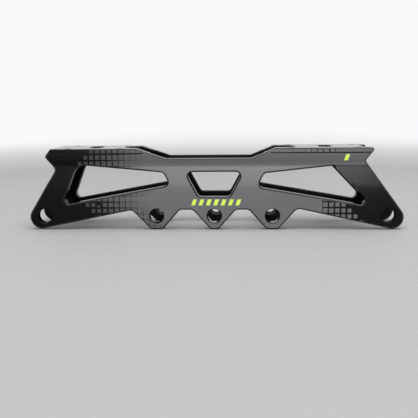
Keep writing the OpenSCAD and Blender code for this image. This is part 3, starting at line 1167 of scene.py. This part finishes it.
@dataclass
class DeckScrews:
    """Four flush countersunk screws of one deck, set out by Geometry Nodes. Sizes are in mm.

    Attributes:
        end: The deck's end of the frame.
        screw_xs: Places of the two pairs along X.
        side_y: Distance of the screws from the middle.
        sunk: How far the heads lie below the deck's top.
        head_d: Diameter of a head.
        shank_d: Diameter of a shank.
        length: Length of a screw.
        point: Chamfer at the point, and depth of the drill tip under the socket.
        brim: For each ring of the head's brim its distance in from the edge and its depth.
        socket_af: Width across the flats of the hexagon socket.
        socket_depth: Depth of that socket.
        mouth: Chamfer at the socket's mouth.
        steps: Points round a screw.
        smooth_deg: Turn up to which faces are shaded as one.
    """

    end: str
    screw_xs: tuple[float, float]
    side_y: float = 14.5
    sunk: float = 0.05
    head_d: float = 6.0
    shank_d: float = 3.0
    length: float = 7.95
    point: float = 0.35
    brim: tuple[tuple[float, float], ...] = ((0.12, 0.12), (0.04, 0.02), (0.14, 0.0))
    socket_af: float = 2.0
    socket_depth: float = 1.1
    mouth: float = 0.14
    steps: int = 48
    smooth_deg: float = 28.0

    def profile(self) -> list[tuple[Callable[[float], float], float]]:
        """The rings of a screw, from its point over its head into the socket.

        Returns:
            For each ring its radius at an angle, and its height.
        """
        shank = self.shank_d / 2
        head = self.head_d / 2

        def round_at(radius: float) -> Callable[[float], float]:
            """A round ring."""
            return lambda angle: radius

        def hexagon(grow: float) -> Callable[[float], float]:
            """A hexagonal ring."""
            third = math.pi / 3
            return lambda angle: (self.socket_af / 2 + grow) / math.cos(angle % third - third / 2)

        return [
            (round_at(shank - self.point), -self.length),
            (round_at(shank), self.point - self.length),
            (round_at(shank), shank - head),
            *((round_at(head - inset), -depth) for inset, depth in self.brim),
            (hexagon(self.mouth), 0.0),
            (hexagon(0.0), -self.mouth),
            (hexagon(0.0), -self.socket_depth),
        ]

    def one_screw(self, name: str) -> Mesh:
        """Turns the profile into one screw, with its head at Z = 0.

        Args:
            name: The mesh's name.

        Returns:
            The mesh.
        """
        work = bmesh.new()
        rings = []
        for radius, z in self.profile():
            spots = [(radius(a) * math.cos(a), radius(a) * math.sin(a), z) for a in turn(self.steps)]
            rings.append(add_ring(work, spots))
        join_rings(work, rings)
        work.faces.new(list(reversed(rings[0])))
        drill_tip = work.verts.new((0.0, 0.0, -(self.socket_depth + self.point) * MM))
        for i in range(self.steps):
            work.faces.new((rings[-1][i], rings[-1][(i + 1) % self.steps], drill_tip))
        return closed_mesh(work, name)

    @staticmethod
    def layout() -> NodeTree:
        """Geometry Nodes that put the incoming screw on the corners of a rectangle.

        Returns:
            The tree.
        """
        graph = Graph.group(
            "screw_layout",
            TreeKind.GEOMETRY,
            {
                "Geometry": Socket.GEOMETRY,
                "Spacing X": 0.0,
                "Spacing Y": 0.0,
                "Middle": Socket.VECTOR,
                "Material": Socket.MATERIAL,
            },
            {"Geometry": Socket.GEOMETRY},
        )
        given = graph.add("NodeGroupInput").outputs
        sides = {"Size X": given["Spacing X"], "Size Y": given["Spacing Y"]}
        grid = graph.add("GeometryNodeMeshGrid", {**sides, "Vertices X": 2, "Vertices Y": 2})
        placed = graph.add(
            "GeometryNodeSetPosition", {"Geometry": grid.outputs["Mesh"], "Offset": given["Middle"]}
        )
        screws = graph.add(
            "GeometryNodeInstanceOnPoints",
            {"Points": placed.outputs["Geometry"], "Instance": given["Geometry"]},
        )
        graph.dress(screws.outputs["Instances"], given["Material"])
        return graph.tree

    def build(self, layout: NodeTree, material: Material) -> Object:
        """Sets out the four screws.

        Args:
            layout: The tree from layout().
            material: Their finish.

        Returns:
            The finished piece.
        """
        piece = f"{self.end}_deck_screw_set"
        obj = new_object(piece, self.one_screw(piece))
        first, last = self.screw_xs
        set_nodes(
            obj,
            layout,
            {
                "Spacing X": (last - first) * MM,
                "Spacing Y": 2 * self.side_y * MM,
                "Middle": ((first + last) / 2 * MM, 0.0, (DECK_TOP_Z - self.sunk) * MM),
                "Material": material,
            },
        )
        shade(obj.data, self.smooth_deg)
        hand_over(obj, f"{self.end}_deck_screws")
        return obj


@dataclass
class AxleBush:
    """A headed bush in the left rail, its axle thread cut by Geometry Nodes. Sizes are in mm.

    Attributes:
        station: Its name along the frame.
        x: Its place along X.
        bore_r: Radius of the bore.
        head_r: Radius of the head.
        shank_r: Radius of the shank.
        head_t: Thickness of the head.
        brim: Chamfer round the head and the shank's end.
        mouth: Chamfer at both ends of the bore.
        pitch: Pitch of the thread.
        depth: Depth of the thread.
        run_in: Share of the bore over which the thread grows to its depth, at each end.
        steps: Points round the bush.
        bore_rings: Rings along the bore.
        smooth_deg: Turn up to which faces are shaded as one.
    """

    station: str
    x: float
    bore_r: float = 3.4
    head_r: float = 6.5
    shank_r: float = 4.98
    head_t: float = 1.2
    brim: float = 0.2
    mouth: float = 0.6
    pitch: float = 1.25
    depth: float = 0.5
    run_in: float = 1 / 6
    steps: int = 56
    bore_rings: int = 44
    smooth_deg: float = 30.0

    def profile(self) -> list[tuple[float, float, float]]:
        """The closed section of the bush, from its outer mouth round to the bore.

        Returns:
            For each ring its radius, its distance in from the outer face and its share of the thread.
        """
        wide = self.bore_r + self.mouth
        end = RAIL_THICKNESS
        body = [
            (wide, 0.0, 0.0),
            (self.head_r - self.brim, 0.0, 0.0),
            (self.head_r, self.brim, 0.0),
            (self.head_r, self.head_t, 0.0),
            (self.shank_r, self.head_t, 0.0),
            (self.shank_r, end - self.brim, 0.0),
            (self.shank_r - self.brim, end, 0.0),
            (wide, end, 0.0),
        ]
        run = end - 2 * self.mouth
        for i in range(self.bore_rings + 1):
            along = i / self.bore_rings
            fade = min(1.0, along / self.run_in, (1 - along) / self.run_in)
            body.append((self.bore_r, end - self.mouth - run * along, fade))
        return body

    def plain(self, name: str) -> Mesh:
        """Turns the section into a bush with a smooth bore.

        Args:
            name: The mesh's name.

        Returns:
            The mesh, with the thread's share kept as the attribute thread_share.
        """
        work = bmesh.new()
        share = work.verts.layers.float.new("thread_share")
        rings = []
        for radius, inwards, fade in self.profile():
            spots = [
                (self.x + radius * math.cos(a), HALF_WIDTH - inwards, AXLE_Z + radius * math.sin(a))
                for a in turn(self.steps)
            ]
            rings.append(add_ring(work, spots))
            for vert in rings[-1]:
                vert[share] = fade
        join_rings(work, rings + rings[:1])
        return closed_mesh(work, name)

    @classmethod
    def thread(cls) -> NodeTree:
        """Geometry Nodes that cut a helical thread into the bore.

        Returns:
            The tree.
        """
        graph = Graph.group(
            "axle_thread",
            TreeKind.GEOMETRY,
            {
                "Geometry": Socket.GEOMETRY,
                "Station X": 0.0,
                "Axle Z": AXLE_Z * MM,
                "Pitch": cls.pitch * MM,
                "Depth": cls.depth * MM,
                "Steepness": 2.4,
                "Crest": -0.2,
                "Material": Socket.MATERIAL,
            },
            {"Geometry": Socket.GEOMETRY},
        )
        given = graph.add("NodeGroupInput").outputs
        place = graph.add("GeometryNodeInputPosition").outputs["Position"]
        axes = graph.add("ShaderNodeSeparateXYZ", {"Vector": place}).outputs
        out_x = graph.math("SUBTRACT", axes["X"], given["Station X"])
        out_z = graph.math("SUBTRACT", axes["Z"], given["Axle Z"])
        turned = graph.math("DIVIDE", graph.math("ARCTAN2", out_z, out_x), 2 * math.pi)
        climb = graph.math("DIVIDE", axes["Y"], given["Pitch"])
        phase = graph.math("FRACT", graph.math("ADD", climb, turned))
        flank = graph.math("ABSOLUTE", graph.math("SUBTRACT", phase, 0.5))
        groove = graph.math("MULTIPLY_ADD", flank, given["Steepness"], given["Crest"], clamp=True)
        share = graph.add("GeometryNodeInputNamedAttribute", {"Name": "thread_share"}, data_type="FLOAT")
        deep = graph.math("MULTIPLY", graph.math("MULTIPLY", groove, given["Depth"]), share.outputs[0])
        spoke = graph.add("ShaderNodeCombineXYZ", {"X": out_x, "Z": out_z}).outputs["Vector"]
        offset = graph.vector("SCALE", {0: graph.vector("NORMALIZE", {0: spoke}), "Scale": deep})
        cut = graph.add("GeometryNodeSetPosition", {"Geometry": given["Geometry"], "Offset": offset})
        graph.dress(cut.outputs["Geometry"], given["Material"])
        return graph.tree

    def build(self, thread: NodeTree, material: Material) -> Object:
        """Turns the bush and cuts its thread.

        Args:
            thread: The tree from thread().
            material: Its finish.

        Returns:
            The finished piece.
        """
        node = f"axle_bush_{self.station}"
        piece = f"{node}_turned"
        obj = new_object(piece, self.plain(piece))
        set_nodes(
            obj,
            thread,
            {
                "Station X": self.x * MM,
                "Axle Z": AXLE_Z * MM,
                "Pitch": self.pitch * MM,
                "Depth": self.depth * MM,
                "Material": material,
            },
        )
        shade(obj.data, self.smooth_deg)
        hand_over(obj, node)
        return obj


@dataclass(frozen=True)
class PhotoCamera:
    """The camera at the photograph's viewing angle.

    Attributes:
        place: Where it stands, in mm.
        yaw_deg: How far it is turned to the heel.
        pitch_deg: How far it looks down.
        roll_deg: How far it leans.
        focal_px: Its focal length in pixels of the photograph.
        image_px: The photograph's side in pixels.
        sensor: Width of the sensor, in mm.
        clip: The nearest and the farthest that it sees, in metres.
    """

    place: tuple[float, float, float] = (16.67, -435.32, 86.93)
    yaw_deg: float = 2.796
    pitch_deg: float = 9.834
    roll_deg: float = -0.551
    focal_px: float = 600.0
    image_px: float = 418.0
    sensor: float = 36.0
    clip: tuple[float, float] = (0.01, 50.0)

    def build(self) -> None:
        """Makes the camera and gives it to the scene."""
        yaw, pitch, roll = (math.radians(a) for a in (self.yaw_deg, self.pitch_deg, self.roll_deg))
        ahead = Vector(
            (-math.sin(yaw) * math.cos(pitch), math.cos(yaw) * math.cos(pitch), -math.sin(pitch))
        )
        level = Vector((math.cos(yaw), math.sin(yaw), 0.0))
        upright = level.cross(ahead)
        right = math.cos(roll) * level + math.sin(roll) * upright
        up = math.cos(roll) * upright - math.sin(roll) * level
        data = bpy.data.cameras.new("photo_camera")
        data.sensor_width = self.sensor
        data.lens = self.focal_px / self.image_px * self.sensor
        data.clip_start, data.clip_end = self.clip
        camera = bpy.data.objects.new("photo_camera", data)
        turned = Matrix((right, up, -ahead)).transposed().to_4x4()
        camera.matrix_world = Matrix.Translation(Vector(self.place) * MM) @ turned
        bpy.context.scene.collection.objects.link(camera)
        bpy.context.scene.camera = camera


@dataclass(frozen=True)
class SoftBox:
    """A soft square lamp.

    Attributes:
        name: Its name.
        place: Where it hangs, in metres.
        size: Its two sides, in metres.
        power: Its power, in watts.
        aim: What it points at, in metres.
    """

    name: str
    place: tuple[float, float, float]
    size: tuple[float, float]
    power: float
    aim: tuple[float, float, float] = (0.0, 0.0, 0.03)

    def build(self) -> None:
        """Hangs the lamp, which lights the scene and isn't seen itself."""
        data = bpy.data.lights.new(self.name, "AREA")
        data.shape = "RECTANGLE"
        data.size, data.size_y = self.size
        data.energy = self.power
        lamp = bpy.data.objects.new(self.name, data)
        lamp.location = self.place
        lamp.rotation_euler = (Vector(self.aim) - Vector(self.place)).to_track_quat("-Z", "Y").to_euler()
        lamp.visible_camera = False
        bpy.context.scene.collection.objects.link(lamp)


@dataclass(frozen=True)
class Studio:
    """A pale floor that sweeps up into a backdrop, soft boxes and a pale surround, in metres.

    Attributes:
        pale: Colour of the floor and backdrop.
        roughness: Their roughness.
        specular: Their specular level.
        white: Colour of the surround.
        half_width: Half of the floor's width.
        front: Where the floor starts.
        back: Where it turns up.
        sweep_r: Radius of the sweep.
        height: Height of the backdrop.
        below: How far the floor lies under the object.
        sweep_steps: Steps in the sweep.
        near: Distance up to which the floor shows as it is lit.
        far: Distance from which it shows as pale as the surround.
        fill: Strength of the surround as a light.
        seen: Strength of the surround as it is seen.
        boxes: The lamps.
    """

    pale: tuple[float, float, float, float] = (0.80, 0.80, 0.79, 1.0)
    roughness: float = 0.6
    specular: float = 0.2
    white: tuple[float, float, float, float] = (1.0, 1.0, 1.0, 1.0)
    half_width: float = 4.0
    front: float = -4.0
    back: float = 0.9
    sweep_r: float = 0.7
    height: float = 3.0
    below: float = 0.0002
    sweep_steps: int = 24
    near: float = 0.45
    far: float = 1.1
    fill: float = 0.2
    seen: float = 0.95
    boxes: tuple[SoftBox, ...] = (
        SoftBox("top_box", (0.05, -0.15, 1.1), (1.2, 0.8), 6.5),
        SoftBox("front_box", (0.06, -1.3, 0.11), (0.72, 0.16), 8.8),
    )

    def floor(self) -> None:
        """Builds the floor and backdrop."""
        line = [(self.front, -self.below)]
        for i in range(self.sweep_steps + 1):
            angle = math.pi / 2 * i / self.sweep_steps
            rise = self.sweep_r * (1 - math.cos(angle))
            line.append((self.back + self.sweep_r * math.sin(angle), rise - self.below))
        line.append((self.back + self.sweep_r, self.height))
        points = [(side * self.half_width, y, z) for y, z in line for side in (-1, 1)]
        faces = [(2 * i, 2 * i + 1, 2 * i + 3, 2 * i + 2) for i in range(len(line) - 1)]
        mesh = bpy.data.meshes.new("studio_floor")
        mesh.from_pydata(points, [], faces)
        mesh.shade_smooth()
        mesh.materials.append(self.paper())
        floor = new_object("studio_floor", mesh)

    @staticmethod
    def shown(graph: Graph) -> NodeSocket:
        """A mask of the rays that see the background itself.

        Args:
            graph: The graph of a material or of the world.

        Returns:
            The mask's output.
        """
        rays = graph.add("ShaderNodeLightPath").outputs
        shown = graph.math("MAXIMUM", rays["Is Camera Ray"], rays["Is Glossy Ray"])
        return graph.math("MAXIMUM", shown, rays["Is Transmission Ray"])

    def paper(self) -> Material:
        """Makes the floor's material: lit near the object, and seen as pale further away.

        Returns:
            The material.
        """
        material = bpy.data.materials.new("studio_paper")
        graph = Graph.cleared(material)
        place = graph.add("ShaderNodeTexCoord").outputs["Object"]
        away = graph.vector("LENGTH", {0: place})
        pale = graph.math("MULTIPLY", graph.span(away, self.near, self.far), self.shown(graph))
        lit = graph.add(
            "ShaderNodeBsdfPrincipled",
            {"Base Color": self.pale, "Roughness": self.roughness, "Specular IOR Level": self.specular},
        )
        seen = graph.add("ShaderNodeEmission", {"Color": self.white, "Strength": self.seen})
        mixed = graph.add("ShaderNodeMixShader", {0: pale, 1: lit.outputs[0], 2: seen.outputs[0]})
        graph.add("ShaderNodeOutputMaterial", {"Surface": mixed.outputs[0]})
        return material

    def surround(self) -> None:
        """Sets the world: a soft light, seen as pale."""
        world = bpy.data.worlds.new("studio_surround")
        graph = Graph.cleared(world)
        shown = self.shown(graph)
        lit, seen = (
            graph.add("ShaderNodeBackground", {"Color": self.white, "Strength": strength})
            for strength in (self.fill, self.seen)
        )
        mixed = graph.add("ShaderNodeMixShader", {0: shown, 1: lit.outputs[0], 2: seen.outputs[0]})
        graph.add("ShaderNodeOutputWorld", {"Surface": mixed.outputs[0]})
        bpy.context.scene.world = world

    def build(self) -> None:
        """Builds the whole studio."""
        self.floor()
        self.surround()
        for box in self.boxes:
            box.build()
        bpy.context.scene.view_settings.view_transform = "Standard"


def dress_dowels(dowels: Object, material: Material) -> Object:
    """Gives the dowels of a deck, whose CAD shape stays, their finish.

    Args:
        dowels: The CAD node's object.
        material: The finish.

    Returns:
        The same object.
    """
    dowels.data.materials.clear()
    dowels.data.materials.append(material)
    return dowels


def report(piece: Object) -> None:
    """Logs a piece that is done."""
    LOG.info("%s: %d faces", piece.name, len(piece.data.polygons))


def main() -> None:
    """Builds the studio and every piece of the frame, in order, and reports each piece."""
    logging.basicConfig(level=logging.INFO, format="%(name)s: %(message)s")
    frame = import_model()
    nodes = frame["nodes"]
    PhotoCamera().build()
    Studio().build()
    finishes = Finishes()
    bush_xs = tuple(AXLE_STATIONS.values())
    report(Rail("right_rail").build(nodes["right_rail"], finishes))
    report(Rail("left_rail", bush_xs=bush_xs).build(nodes["left_rail"], finishes))
    layout = DeckScrews.layout()
    for end, screw_xs in DECK_SCREW_XS.items():
        report(Deck(f"{end}_deck").build(nodes[f"{end}_deck"], finishes))
        report(DeckScrews(end, screw_xs).build(layout, finishes.screw))
        report(dress_dowels(nodes[f"{end}_deck_dowels"], finishes.pin))
    thread = AxleBush.thread()
    for station, x in AXLE_STATIONS.items():
        report(AxleBush(station, x).build(thread, finishes.bush))


if __name__ == "__main__":
    main()
